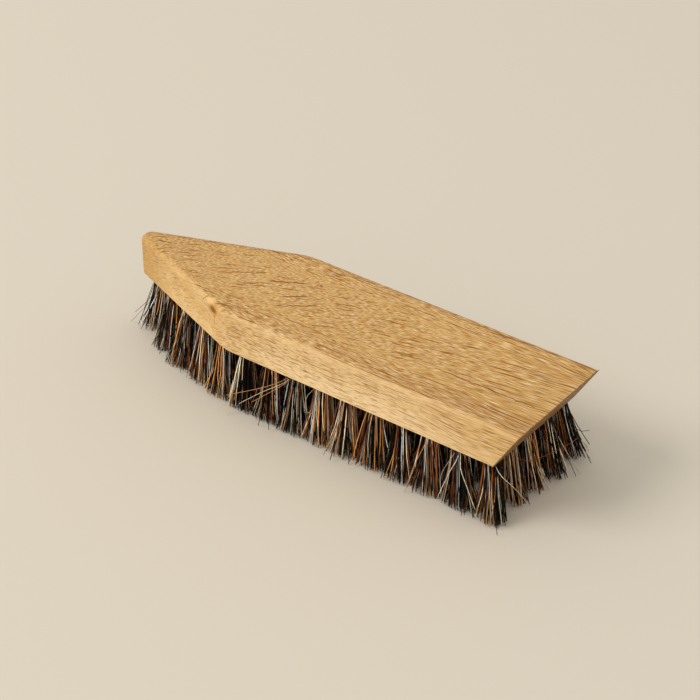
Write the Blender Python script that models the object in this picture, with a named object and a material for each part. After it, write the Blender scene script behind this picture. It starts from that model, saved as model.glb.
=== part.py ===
"""Shoe brush: an oak back with a pointed nose, drilled and set with tufts of stiff bristle.

The brush stands on its bristle tips. Its origin is on that plane, below the middle of the back.
+X runs from the nose to the wide end, +Y to one side and +Z up, out of the flat top.
All lengths are in metres.
"""

import math
import random

import bmesh
import bpy
from mathutils import Matrix, Vector

MM = 0.001

# Wooden back
BACK_LENGTH = 175.0 * MM
BACK_WIDTH = 47.5 * MM
BACK_THICKNESS = 15.0 * MM
TAPER_LENGTH = 57.0 * MM
NOSE_RADIUS = 3.7 * MM
SHOULDER_RADIUS = 16.0 * MM
END_UNDERCUT = 9.0 * MM
ARRIS_RADIUS = 2.2 * MM
EDGE_SOFTENING = 0.5 * MM

# Drilled holes in the underside, one for each tuft
HOLE_DIAMETER = 5.6 * MM
HOLE_DEPTH = 9.0 * MM
NOSE_INSET = 9.5 * MM
SIDE_INSET = 5.4 * MM
END_INSET = 5.4 * MM

# Bristles
BRISTLE_LENGTH = 22.0 * MM
STRAND_TIP_RADIUS = 0.85 * MM
TIP_TRIM = 0.5 * MM
RAGGED_LENGTH = 1.6 * MM
TIP_JITTER = 0.3 * MM
SPLAY_NOSE = 4.6 * MM
SPLAY_END = 6.0 * MM
SPLAY_SIDE = 4.2 * MM
SPLAY_TAPER = 6.5 * MM

# Folded root of a tuft and the flat wire that lies in the fold
ROOT_RECESS = 1.0 * MM
STRAND_EMBED = 0.6 * MM
FOLD_THICKNESS = 1.5 * MM
WIRE_THICKNESS = 0.5 * MM
WIRE_WIDTH = 2.0 * MM
WIRE_BITE = 0.6 * MM

# Fits and cuts
CLEARANCE = 0.3 * MM
OVERRUN = 2.0 * MM

# Counts: the tufts in each cross row from the nose to the wide end, and the steps of round shapes
ROW_TUFTS = (1, 2, 3, 4, 4, 4, 5, 4, 5, 4, 5, 4, 5, 4, 5)
STRANDS_PER_SIDE = 4
STRAND_SIDES = 3
HOLE_SIDES = 12
ROOT_SIDES = 6
NOSE_STEPS = 6
SHOULDER_STEPS = 4
ARRIS_STEPS = 3
SEED = 11

# Proportions
STRAND_ALONG_SHARE = 0.62
STRAND_ACROSS_SHARE = 0.385
STRAND_ROOT_RADIUS_SHARE = 0.175
RAGGED_SHARE = 0.3
LENGTH_SPLAY_POWER = 4
SIDE_SPLAY_POWER = 2
HOLE_SLANT_SHARE = 0.45
SMOOTH_ANGLE = math.radians(35.0)

# Sizes that follow from those above
HALF_WIDTH = BACK_WIDTH / 2
NOSE_X = -BACK_LENGTH / 2
END_X = BACK_LENGTH / 2
UNDERSIDE_END_X = END_X - END_UNDERCUT
SHOULDER_X = NOSE_X + TAPER_LENGTH
UNDERSIDE_Z = BRISTLE_LENGTH

HOLE_RADIUS = HOLE_DIAMETER / 2
ROOT_RADIUS = HOLE_RADIUS * math.cos(math.pi / HOLE_SIDES) - CLEARANCE
ROOT_TOP = HOLE_DEPTH - CLEARANCE
WIRE_TOP = ROOT_TOP - FOLD_THICKNESS
WIRE_HALF_LENGTH = HOLE_RADIUS + WIRE_BITE - CLEARANCE
STRAND_ROOT_RADIUS = ROOT_RADIUS * STRAND_ROOT_RADIUS_SHARE
STRAND_ROOT_ALONG = ROOT_RADIUS * STRAND_ALONG_SHARE
STRAND_ROOT_ACROSS = ROOT_RADIUS * STRAND_ACROSS_SHARE
STRAND_ROOT_Z = ROOT_RECESS + STRAND_EMBED
TIP_MARGIN = STRAND_TIP_RADIUS + TIP_JITTER + CLEARANCE / 2


def clear_scene():
    """Remove whatever the open file holds."""
    for item in list(bpy.data.objects):
        bpy.data.objects.remove(item, do_unlink=True)


def make_material(name, colour, roughness, metallic):
    """Return a Principled material of one colour."""
    material = bpy.data.materials.new(name)
    material.use_nodes = True
    shader = material.node_tree.nodes["Principled BSDF"]
    shader.inputs["Base Color"].default_value = (*colour, 1.0)
    shader.inputs["Roughness"].default_value = roughness
    shader.inputs["Metallic"].default_value = metallic
    return material


def make_object(name, bm):
    """Turn a finished bmesh into an object of the scene."""
    bmesh.ops.recalc_face_normals(bm, faces=bm.faces)
    mesh = bpy.data.meshes.new(name)
    bm.to_mesh(mesh)
    bm.free()
    item = bpy.data.objects.new(name, mesh)
    bpy.context.scene.collection.objects.link(item)
    return item


def apply_boolean(body, tool, operation):
    """Cut the tool out of the body, or join it on, and remove the tool."""
    modifier = body.modifiers.new(operation.title(), "BOOLEAN")
    modifier.operation = operation
    modifier.object = tool
    graph = bpy.context.evaluated_depsgraph_get()
    old_mesh = body.data
    body.data = bpy.data.meshes.new_from_object(body.evaluated_get(graph))
    body.data.name = body.name
    body.modifiers.clear()
    bpy.data.meshes.remove(old_mesh)
    bpy.data.objects.remove(tool, do_unlink=True)


def finish(item, material):
    """Give a piece its material, and shade its round stretches smooth."""
    item.data.materials.clear()
    item.data.materials.append(material)
    item.data.shade_smooth()
    item.data.set_sharp_from_angle(angle=SMOOTH_ANGLE)


def arc(centre, radius, start, end, steps):
    """Return points along an arc, both ends included."""
    points = []
    for step in range(steps + 1):
        angle = start + (end - start) * step / steps
        points.append((centre[0] + radius * math.cos(angle), centre[1] + radius * math.sin(angle)))
    return points


def taper_angle():
    """Return the angle of the line from the shoulder that just touches the round nose."""
    run = TAPER_LENGTH - NOSE_RADIUS
    reach = math.hypot(run, HALF_WIDTH)
    return math.atan2(HALF_WIDTH, run) - math.asin(NOSE_RADIUS / reach)


def half_width_at(x):
    """Return half the width of the underside at x."""
    return min(HALF_WIDTH, HALF_WIDTH - (SHOULDER_X - x) * math.tan(taper_angle()))


def back_outline():
    """Return the plan outline of the underside, from one corner of the wide end to the other."""
    angle = taper_angle()
    tangent_angle = math.pi / 2 + angle
    nose_centre = (NOSE_X + NOSE_RADIUS, 0.0)
    shoulder_centre = (SHOULDER_X + SHOULDER_RADIUS * math.tan(angle / 2), HALF_WIDTH - SHOULDER_RADIUS)
    shoulder = arc(shoulder_centre, SHOULDER_RADIUS, math.pi / 2, tangent_angle, SHOULDER_STEPS)
    nose = arc(nose_centre, NOSE_RADIUS, tangent_angle, math.pi, NOSE_STEPS)
    side = [(UNDERSIDE_END_X, HALF_WIDTH)] + shoulder + nose
    other_side = [(x, -y) for x, y in reversed(side[:-1])]
    return side + other_side


def weigh_edges(bm, top_corners):
    """Give the long top edges the whole arris and every other sharp edge a slight softening."""
    weights = bm.edges.layers.float.new("bevel_weight_edge")
    for edge in bm.edges:
        on_top = sum(vert in top_corners for vert in edge.verts)
        at_end = min(vert.co.x for vert in edge.verts) >= UNDERSIDE_END_X - CLEARANCE
        if at_end or on_top == 0:
            edge[weights] = EDGE_SOFTENING / ARRIS_RADIUS
        elif on_top == 2:
            edge[weights] = 1.0


def make_back():
    """Build the wooden back: an extruded outline with an undercut end and softened edges."""
    bm = bmesh.new()
    underside = bm.faces.new([bm.verts.new((x, y, UNDERSIDE_Z)) for x, y in back_outline()])
    extruded = bmesh.ops.extrude_face_region(bm, geom=[underside])
    top_corners = [item for item in extruded["geom"] if isinstance(item, bmesh.types.BMVert)]
    bmesh.ops.translate(bm, verts=top_corners, vec=(0.0, 0.0, BACK_THICKNESS))
    end_corners = [vert for vert in top_corners if vert.co.x > UNDERSIDE_END_X - CLEARANCE]
    bmesh.ops.translate(bm, verts=end_corners, vec=(END_UNDERCUT, 0.0, 0.0))
    weigh_edges(bm, set(top_corners))
    back = make_object("oak_back", bm)
    bevel = back.modifiers.new("Arris", "BEVEL")
    bevel.limit_method = "WEIGHT"
    bevel.width = ARRIS_RADIUS
    bevel.segments = ARRIS_STEPS
    return back


class Tuft:
    """One tuft: its own axes at the mouth of its hole, and the half size of the cell its tips fill."""

    def __init__(self, root_xy, tip_xy, half_cell):
        root = Vector((*root_xy, UNDERSIDE_Z))
        below = Vector((*root_xy, 0.0))
        self.tip = Vector((*tip_xy, 0.0))
        self.half_cell = half_cell
        hole_axis = root - below.lerp(self.tip, HOLE_SLANT_SHARE)
        slant = Vector((0.0, 0.0, 1.0)).rotation_difference(hole_axis)
        self.frame = Matrix.Translation(root) @ slant.to_matrix().to_4x4()


def splay_across(x):
    """Return how far the outermost tips at x lean sideways: more where the back narrows to the nose."""
    return SPLAY_SIDE + SPLAY_TAPER * (HALF_WIDTH - half_width_at(x)) / HALF_WIDTH


def splay_along(x, first_x, last_x):
    """Return how far the tips at x lean along the brush: least in the middle, most at its ends."""
    middle = (first_x + last_x) / 2
    share = (x - middle) / (last_x - middle)
    lean = abs(share) ** LENGTH_SPLAY_POWER
    return SPLAY_END * lean if share > 0 else -SPLAY_NOSE * lean


def plan_tufts():
    """Lay the tufts out in cross rows that follow the outline, the outer ones leaning outwards."""
    first_x = NOSE_X + NOSE_INSET
    last_x = UNDERSIDE_END_X - END_INSET
    pitch = (last_x - first_x) / (len(ROW_TUFTS) - 1)
    tufts = []
    for row, count in enumerate(ROW_TUFTS):
        x = first_x + pitch * row
        tip_x = x + splay_along(x, first_x, last_x)
        reach = half_width_at(x) - SIDE_INSET
        spacing = 2 * reach / (count - 1) if count > 1 else 2 * pitch
        for place in range(count):
            share = 2 * place / (count - 1) - 1 if count > 1 else 0.0
            lean = math.copysign(abs(share) ** SIDE_SPLAY_POWER, share)
            y = share * reach
            tip_y = y + lean * splay_across(x)
            tufts.append(Tuft((x, y), (tip_x, tip_y), (pitch / 2, spacing / 2)))
    return tufts


def add_prism(bm, frame, sides, radius, bottom, top):
    """Add a prism along a tuft's own axis, with a corner on the tuft's own Y and a flat on its own X."""
    middle = Matrix.Translation((0.0, 0.0, (bottom + top) / 2))
    bmesh.ops.create_cone(bm, cap_ends=True, segments=sides, radius1=radius, radius2=radius,
                          depth=top - bottom, matrix=frame @ middle)


def add_box(bm, frame, half_x, half_y, bottom, top):
    """Add a box along a tuft's own axes."""
    middle = Matrix.Translation((0.0, 0.0, (bottom + top) / 2))
    size = Matrix.Diagonal((2 * half_x, 2 * half_y, top - bottom, 1.0))
    bmesh.ops.create_cube(bm, size=1.0, matrix=frame @ middle @ size)


def add_strand(bm, start, end, turn):
    """Add one straight strand that thickens from its root to its tip."""
    axis = end - start
    facing = Vector((0.0, 0.0, 1.0)).rotation_difference(axis).to_matrix().to_4x4()
    place = Matrix.Translation((start + end) / 2) @ facing @ Matrix.Rotation(turn, 4, "Z")
    bmesh.ops.create_cone(bm, cap_ends=True, segments=STRAND_SIDES, radius1=STRAND_ROOT_RADIUS,
                          radius2=STRAND_TIP_RADIUS, depth=axis.length, matrix=place)


def drill_back(back, tufts):
    """Drill each tuft's blind hole at the tuft's slant, and notch its wall for the ends of the wire."""
    holes = bmesh.new()
    notches = bmesh.new()
    for tuft in tufts:
        add_prism(holes, tuft.frame, HOLE_SIDES, HOLE_RADIUS, -OVERRUN, HOLE_DEPTH)
        add_box(notches, tuft.frame, HOLE_RADIUS + WIRE_BITE, WIRE_THICKNESS / 2 + CLEARANCE,
                -OVERRUN, WIRE_TOP + CLEARANCE)
    apply_boolean(back, make_object("hole_cutter", holes), "DIFFERENCE")
    apply_boolean(back, make_object("notch_cutter", notches), "DIFFERENCE")


def strand_end(tuft, along, across, rng):
    """Return where a strand ends: in its place in the tuft's cell, past the trim or a little short."""
    x = tuft.tip.x + along * (tuft.half_cell[0] - TIP_MARGIN) + rng.uniform(-TIP_JITTER, TIP_JITTER)
    y = tuft.tip.y + across * tuft.half_cell[1] / 2 + rng.uniform(-TIP_JITTER, TIP_JITTER)
    short = rng.random() < RAGGED_SHARE
    z = rng.uniform(TIP_TRIM, RAGGED_LENGTH) if short else -TIP_TRIM
    return Vector((x, y, z))


def make_root(name, tuft):
    """Build the root: the bunch bent double and packed tight, with the flat wire lying in its fold."""
    bunch = bmesh.new()
    add_prism(bunch, tuft.frame, ROOT_SIDES, ROOT_RADIUS, ROOT_RECESS, ROOT_TOP)
    wire = bmesh.new()
    add_box(wire, tuft.frame, WIRE_HALF_LENGTH, WIRE_THICKNESS / 2, WIRE_TOP - WIRE_WIDTH, WIRE_TOP)
    root = make_object(name, bunch)
    apply_boolean(root, make_object("anchor_wire", wire), "UNION")
    return root


def make_strands(tuft, rng):
    """Build the strands of both legs of the fold, and trim them flat where the brush stands."""
    bm = bmesh.new()
    for across in (-1, 1):
        for place in range(STRANDS_PER_SIDE):
            along = 2 * place / (STRANDS_PER_SIDE - 1) - 1
            root = Vector((along * STRAND_ROOT_ALONG, across * STRAND_ROOT_ACROSS, STRAND_ROOT_Z))
            end = strand_end(tuft, along, across, rng)
            add_strand(bm, tuft.frame @ root, end, rng.uniform(0.0, math.tau))
    everything = bm.verts[:] + bm.edges[:] + bm.faces[:]
    bmesh.ops.bisect_plane(bm, geom=everything, plane_co=(0.0, 0.0, 0.0), plane_no=(0.0, 0.0, 1.0),
                           clear_inner=True)
    bmesh.ops.holes_fill(bm, edges=[edge for edge in bm.edges if edge.is_boundary])
    return make_object("strands", bm)


def build():
    """Build the whole brush."""
    clear_scene()
    oak = make_material("oiled_oak", (0.58, 0.34, 0.13), 0.45, 0.0)
    bristle = make_material("mixed_bristle", (0.045, 0.03, 0.02), 0.6, 0.0)
    rng = random.Random(SEED)
    tufts = plan_tufts()
    back = make_back()
    drill_back(back, tufts)
    finish(back, oak)
    for number, tuft in enumerate(tufts, start=1):
        bunch = make_root(f"bristle_tuft_{number:02d}", tuft)
        apply_boolean(bunch, make_strands(tuft, rng), "UNION")
        finish(bunch, bristle)


build()
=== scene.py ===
"""The finished look of an oak shoe brush: its wooden back, its tufts of mixed bristle and their wires.

Every piece is in metres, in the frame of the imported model: the brush stands on its bristle tips, +X runs
from the nose to the wide end and +Z is up, out of the flat top of the back. The finishes count in
millimetres.
"""

from __future__ import annotations

import logging
import math
from dataclasses import dataclass, field
from enum import Enum
from functools import partial, reduce
from typing import Callable

import bpy
import numpy as np
from mathutils import Matrix, Vector


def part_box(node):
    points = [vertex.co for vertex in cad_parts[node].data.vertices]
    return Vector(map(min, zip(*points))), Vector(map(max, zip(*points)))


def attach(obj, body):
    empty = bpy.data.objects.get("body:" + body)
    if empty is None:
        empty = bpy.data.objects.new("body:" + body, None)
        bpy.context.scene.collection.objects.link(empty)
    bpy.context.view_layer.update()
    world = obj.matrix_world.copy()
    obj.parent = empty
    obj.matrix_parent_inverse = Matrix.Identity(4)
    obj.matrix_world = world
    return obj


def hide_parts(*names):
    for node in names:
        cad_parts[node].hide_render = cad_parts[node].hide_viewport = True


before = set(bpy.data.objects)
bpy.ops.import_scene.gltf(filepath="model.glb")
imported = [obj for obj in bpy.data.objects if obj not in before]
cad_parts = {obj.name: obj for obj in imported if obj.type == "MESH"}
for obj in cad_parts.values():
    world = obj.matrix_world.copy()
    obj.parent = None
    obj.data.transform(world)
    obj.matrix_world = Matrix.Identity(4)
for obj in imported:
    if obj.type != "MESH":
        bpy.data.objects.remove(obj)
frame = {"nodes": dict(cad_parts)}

LOG = logging.getLogger("shoe_brush")

MM = 0.001
BODY = "root"
BACK_NODE = "oak_back"
TUFT_PREFIX = "bristle_tuft_"
TOP_HEIGHT = 37.0
GOLDEN_TURN = 2.399963

Colour = tuple[float, float, float]
Point = tuple[float, ...]
Pair = tuple[float, float]
Mark = tuple[Point, Point, float]
Array = np.ndarray
Chance = np.random.Generator
Piece = bpy.types.Object
Material = bpy.types.Material
Tree = bpy.types.NodeTree
Socket = bpy.types.NodeSocket


def srgb(*steps: int) -> Colour:
    """Turn a colour as seen, in steps of 255, into the linear colour that a shader takes."""
    shares = [step / 255.0 for step in steps]
    return tuple(share / 12.92 if share <= 0.04045 else ((share + 0.055) / 1.055) ** 2.4 for share in shares)


def on_back(point: Point) -> Point:
    """Return a point on the back in millimetres: one without a height lies on the flat top."""
    return (*point, TOP_HEIGHT)[:3]


class Graph:
    """Lays out the nodes of one material, world or node group."""

    def __init__(self, tree: Tree) -> None:
        """Keep the tree that the nodes go into."""
        self.tree = tree

    def feed(self, socket: Socket, value: object) -> None:
        """Link an output to an input, or set the input's own value.

        Args:
            socket: The input.
            value: An output socket, a number, a vector or a colour.
        """
        if isinstance(value, Socket):
            self.tree.links.new(value, socket)
        elif socket.type == "RGBA":
            socket.default_value = (*value, 1.0)
        else:
            socket.default_value = value

    def add(self, kind: str, values: dict[int | str, object] | None = None,
            **settings: object) -> bpy.types.NodeOutputs:
        """Add a node.

        Args:
            kind: The node's type, without its ShaderNode prefix.
            values: The values of its inputs, by their numbers or names.
            **settings: Values for the node's own properties.

        Returns:
            The outputs of the new node.
        """
        node = self.tree.nodes.new("ShaderNode" + kind)
        for name, value in settings.items():
            setattr(node, name, value)
        for key, value in (values or {}).items():
            self.feed(node.inputs[key], value)
        return node.outputs

    def math(self, operation: str, *values: object, clamp: bool = False) -> Socket:
        """Return the result of a sum on one to three numbers."""
        return self.add("Math", dict(enumerate(values)), operation=operation, use_clamp=clamp)[0]

    def times(self, *values: object) -> Socket:
        """Return the product of numbers."""
        return reduce(partial(self.math, "MULTIPLY"), values)

    def most(self, *values: object) -> Socket:
        """Return the greatest of numbers."""
        return reduce(partial(self.math, "MAXIMUM"), values)

    def vector(self, operation: str, *values: object) -> Socket:
        """Return the vector that comes of a sum on vectors."""
        return self.add("VectorMath", dict(enumerate(values)), operation=operation)["Vector"]

    def measure(self, operation: str, *values: object) -> Socket:
        """Return the number that comes of a sum on vectors: a length or a product."""
        return self.add("VectorMath", dict(enumerate(values)), operation=operation)["Value"]

    def away(self, place: Socket, centre: Point, reach: Point) -> Socket:
        """Return how far a place is from a centre, as a share of the reach along each axis."""
        return self.measure("LENGTH", self.vector("DIVIDE", self.vector("SUBTRACT", place, centre), reach))

    def split(self, vector: Socket) -> list[Socket]:
        """Return the three parts of a vector."""
        return list(self.add("SeparateXYZ", {0: vector}))

    def join(self, *parts: Socket) -> Socket:
        """Return a vector of up to three parts."""
        return self.add("CombineXYZ", dict(enumerate(parts)))[0]

    def span(self, value: Socket, low: float, high: float, start: object = 0.0, end: object = 1.0,
             kind: str = "SMOOTHSTEP") -> Socket:
        """Carry a value from the range low to high to start to end, eased, and hold it at both ends."""
        values = dict(enumerate((value, low, high, start, end)))
        return self.add("MapRange", values, interpolation_type=kind)[0]

    def noise(self, place: Socket, steps: Point, detail: float = 2.0, output: str = "Fac") -> Socket:
        """Return smooth random values, 0.5 on average, whose bumps are about one step apart on each axis."""
        values = {"Vector": self.vector("DIVIDE", place, steps), "Scale": 1.0, "Detail": detail}
        return self.add("TexNoise", values)[output]

    def mix(self, share: object, first: object, second: object, blend: str = "MIX") -> Socket:
        """Return a mix of two colours."""
        return self.add("Mix", {0: share, 6: first, 7: second}, data_type="RGBA", blend_type=blend)[2]

    def blend(self, share: Socket, first: object, second: object) -> Socket:
        """Return a mix of two numbers."""
        return self.add("Mix", {0: share, 2: first, 3: second}, data_type="FLOAT")[0]

    def millimetres(self) -> Socket:
        """Return the place on the piece, in millimetres."""
        return self.vector("MULTIPLY", self.add("TexCoord")["Object"], (1.0 / MM,) * 3)

    def show(self, output: str, share: Socket, first: Socket, second: Socket) -> None:
        """Show a mix of two shaders at an output node."""
        both = self.add("MixShader", {0: share, 1: first, 2: second})[0]
        self.feed(self.tree.nodes[output].inputs["Surface"], both)


class GroupGraph(Graph):
    """Lays out one shader node group, with its inputs in taken and its outputs in given."""

    def __init__(self, name: str, takes: dict[str, str], *gives: str) -> None:
        """Start the group.

        Args:
            name: The group's name.
            takes: Its inputs, each with its kind of socket.
            *gives: Its outputs, each a number.
        """
        super().__init__(bpy.data.node_groups.new(name, "ShaderNodeTree"))
        for label, kind in takes.items():
            self.tree.interface.new_socket(label, in_out="INPUT", socket_type="NodeSocket" + kind)
        for label in gives:
            self.tree.interface.new_socket(label, in_out="OUTPUT", socket_type="NodeSocketFloat")
        self.taken = self.tree.nodes.new("NodeGroupInput").outputs
        self.given = self.tree.nodes.new("NodeGroupOutput").inputs


class MaterialGraph(Graph):
    """Lays out one material round its Principled shader."""

    def __init__(self, name: str) -> None:
        """Start the material.

        Args:
            name: The material's name.
        """
        self.material = bpy.data.materials.new(name)
        self.material.use_nodes = True
        super().__init__(self.material.node_tree)
        self.shader = self.tree.nodes["Principled BSDF"]

    def finish(self, values: dict[str, object]) -> Material:
        """Give the shader its values.

        Args:
            values: The values of its inputs, by their names.

        Returns:
            The material.
        """
        for name, value in values.items():
            self.feed(self.shader.inputs[name], value)
        return self.material


def strokes_group() -> Tree:
    """Build the group that scatters short strokes along x: pores, flecks and specks.

    Returns:
        The group. It takes a place, the size of a stroke's cell, a stroke's half size and the share of
        cells that hold one, and gives a mask.
    """
    takes = {"Place": "Vector", "Cell": "Vector", "Half Size": "Vector", "Share": "Float"}
    graph = GroupGraph("scattered_strokes", takes, "Mask")
    place, cell, half_size, share = list(graph.taken)[:4]
    scaled = graph.vector("DIVIDE", place, cell)
    cells = graph.add("TexVoronoi", {"Vector": scaled, "Scale": 1.0}, voronoi_dimensions="2D", feature="F1")
    away = graph.vector("MULTIPLY", graph.vector("SUBTRACT", scaled, cells["Position"]), (1.0, 1.0, 0.0))
    distance = graph.measure("LENGTH", graph.vector("DIVIDE", away, graph.vector("DIVIDE", half_size, cell)))
    luck, size, _ = graph.split(cells["Color"])
    there = graph.math("LESS_THAN", luck, share)
    stroke = graph.span(distance, graph.span(size, 0.0, 1.0, 0.5, 1.0), 0.25)
    graph.feed(graph.given["Mask"], graph.times(stroke, there))
    return graph.tree


def mark_group() -> Tree:
    """Build the group that draws one thin mark between two points, narrowing towards both ends.

    Returns:
        The group. It takes a place, the two ends and half the width, and gives a mask.
    """
    takes = {"Place": "Vector", "Start": "Vector", "End": "Vector", "Half Width": "Float"}
    graph = GroupGraph("single_mark", takes, "Mask")
    place, start, end, half_width = list(graph.taken)[:4]
    along = graph.vector("SUBTRACT", end, start)
    away = graph.vector("SUBTRACT", place, start)
    share = graph.math("DIVIDE", graph.measure("DOT_PRODUCT", away, along),
                       graph.measure("DOT_PRODUCT", along, along), clamp=True)
    nearest = graph.vector("MULTIPLY", along, share)
    distance = graph.measure("LENGTH", graph.vector("SUBTRACT", away, nearest))
    width = graph.times(half_width, graph.span(graph.math("PINGPONG", share, 0.5), 0.0, 0.25, 0.25, 1.0))
    graph.feed(graph.given["Mask"], graph.span(graph.math("DIVIDE", distance, width), 0.35, 1.0, 1.0, 0.0))
    return graph.tree


@dataclass(frozen=True)
class Strokes:
    """Strokes along x: the size of a cell, half a stroke's size and the share of cells that hold one."""

    cell: Pair
    half_size: Pair
    share: float

    def scatter(self, graph: Graph, group: Tree, place: Socket) -> Socket:
        """Return the mask of the strokes, with the group that scatters them placed in a graph."""
        values = {0: place, 1: (*self.cell, 1.0), 2: (*self.half_size, 1.0), 3: self.share}
        return graph.add("Group", values, node_tree=group)[0]


@dataclass(frozen=True)
class OakFinish:
    """Oiled oak: streaked and speckled, with slanted rays on top, dashes on the sides and one small knot.

    A point without a height lies on the flat top. A mark has two ends and half a width, and a cloud a centre
    and a reach. A run is how the grain is scaled along x, and the slant how it turns aside: the change with
    x, and the value where x is 0. The foot is where the undercut end meets the underside.
    """

    light: Colour = srgb(220, 176, 103)
    dark: Colour = srgb(200, 151, 77)
    orange: Colour = srgb(216, 156, 70)
    pale: Colour = srgb(247, 206, 140)
    bright: Colour = srgb(251, 221, 174)
    fleck: Colour = srgb(150, 94, 14)
    crack: Colour = srgb(140, 84, 24)
    # a paler side tone of the wood that also carries painted light on the sides and the painted highlight of
    # the near edge
    side_pale_and_painted_light: Colour = srgb(252, 218, 164)
    rim_dark: Colour = srgb(186, 137, 72)
    # the undercut end's tones: partly the oiled end grain, partly painted shade of a face that looks down
    # and away from the lamp
    end_grain_and_shade: Colour = srgb(112, 80, 45)
    end_pale: Colour = srgb(150, 108, 62)
    shade: Colour = srgb(150, 116, 72)
    knot: Colour = srgb(120, 76, 48)
    roughness: float = 0.46
    shine: float = 0.2
    relief: float = 0.12
    long_run: Pair = (-0.0027, 0.8)
    short_run: Pair = (-0.0058, 1.25)
    slant: Pair = (-0.0015, 0.34)
    pores: Strokes = Strokes((4.6, 0.9), (2.5, 0.25), 0.75)
    specks: Strokes = Strokes((2.6, 0.95), (1.2, 0.3), 0.6)
    rays: Strokes = Strokes((9.5, 2.3), (4.6, 0.42), 0.72)
    lines: Strokes = Strokes((21.0, 1.8), (10.0, 0.38), 0.8)
    dashes: Strokes = Strokes((9.0, 0.95), (4.4, 0.25), 0.7)
    knot_place: Point = (-37.3, -21.2, 34.2)
    lobe_place: Point = (-39.8, -19.5, 36.4)
    cracks: tuple[Mark, ...] = (
        ((-31.2, 1.0), (-18.2, 8.0), 0.5),
        ((-21.8, -4.3), (-12.8, 1.7), 0.48),
        ((-16.0, -7.8), (-7.2, -1.1), 0.48),
        ((-45.0, -2.1), (-35.1, 4.0), 0.36),
        ((-37.8, -6.2), (-32.7, -2.3), 0.38),
        ((-5.2, 2.7), (3.4, 6.1), 0.38),
        ((-3.2, -12.8), (3.3, -9.2), 0.4),
        ((-79.5, -1.4), (-73.9, 0.2), 0.42),
        ((45.0, -7.9), (87.0, -7.2), 0.36),
        ((28.0, -9.0), (40.0, -6.6), 0.36),
        ((-15.0, 9.2), (-13.8, 9.5), 0.7),
        ((-20.8, 19.2), (-11.7, 18.7), 0.42),
        ((44.5, 19.5), (65.2, 22.3), 0.42))
    knot_lines: tuple[Mark, ...] = (
        ((-43.9, -18.6, 34.3), (-42.9, -18.9, 35.8), 0.45),
        ((-42.9, -18.9, 35.8), (-41.2, -18.4, 36.8), 0.45),
        ((-41.2, -18.4, 36.8), (-38.9, -18.6), 0.36),
        ((-40.6, -20.0, 34.1), (-38.6, -20.7, 32.0), 0.36),
        ((-36.7, -21.5, 33.1), (-37.0, -21.3, 28.7), 0.4),
        ((-34.1, -21.6, 36.5), (-32.4, -20.1, 36.9), 0.42),
        ((-32.4, -20.1, 36.9), (-28.8, -20.9), 0.36),
        ((-32.8, -22.7, 36.0), (-30.6, -21.9), 0.42),
        ((-30.6, -21.9), (-27.4, -23.1, 36.8), 0.4))
    clouds: tuple[tuple[Point, Point], ...] = (
        ((-69.0, -0.8), (8.0, 3.2, 4.0)),
        ((-66.6, -7.1), (2.4, 1.2, 3.0)),
        ((74.0, 8.0), (9.0, 3.0, 4.0)),
        ((-26.6, -18.2), (3.2, 1.3, 3.0)),
        ((-7.5, -20.8, 36.0), (4.0, 1.6, 3.0)))
    half_width: float = 23.75
    shoulder_x: float = -30.5
    taper_angle: float = math.radians(20.4)
    foot: Pair = (78.5, 22.0)
    undercut: float = 0.6

    def build(self) -> Material:
        """Build the material, patterned on Object coordinates."""
        return OakGraph(self).build()


def grain_group(oak: OakFinish, strokes: Tree) -> Tree:
    """Build the group that gives the oak its fine grain along x.

    Args:
        oak: The finish.
        strokes: The group that scatters strokes.

    Returns:
        The group. It takes a place on the flat and gives the streaks, the grit and the fine grain, each
        0 to 1, and masks of the dark pores and the pale specks.
    """
    graph = GroupGraph("oak_grain", {"Flat": "Vector"}, "Streak", "Grit", "Fine", "Pores", "Specks")
    flat = graph.taken["Flat"]
    graph.feed(graph.given["Streak"], graph.noise(flat, (18.0, 0.75, 1.0), 3.0))
    graph.feed(graph.given["Grit"], graph.noise(flat, (4.2, 0.38, 1.0), 2.0))
    graph.feed(graph.given["Fine"], graph.noise(flat, (2.2, 0.25, 1.0), 1.0))
    graph.feed(graph.given["Pores"], oak.pores.scatter(graph, strokes, flat))
    moved = graph.vector("ADD", flat, (31.0, 7.3, 0.0))
    graph.feed(graph.given["Specks"], oak.specks.scatter(graph, strokes, moved))
    return graph.tree


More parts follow.
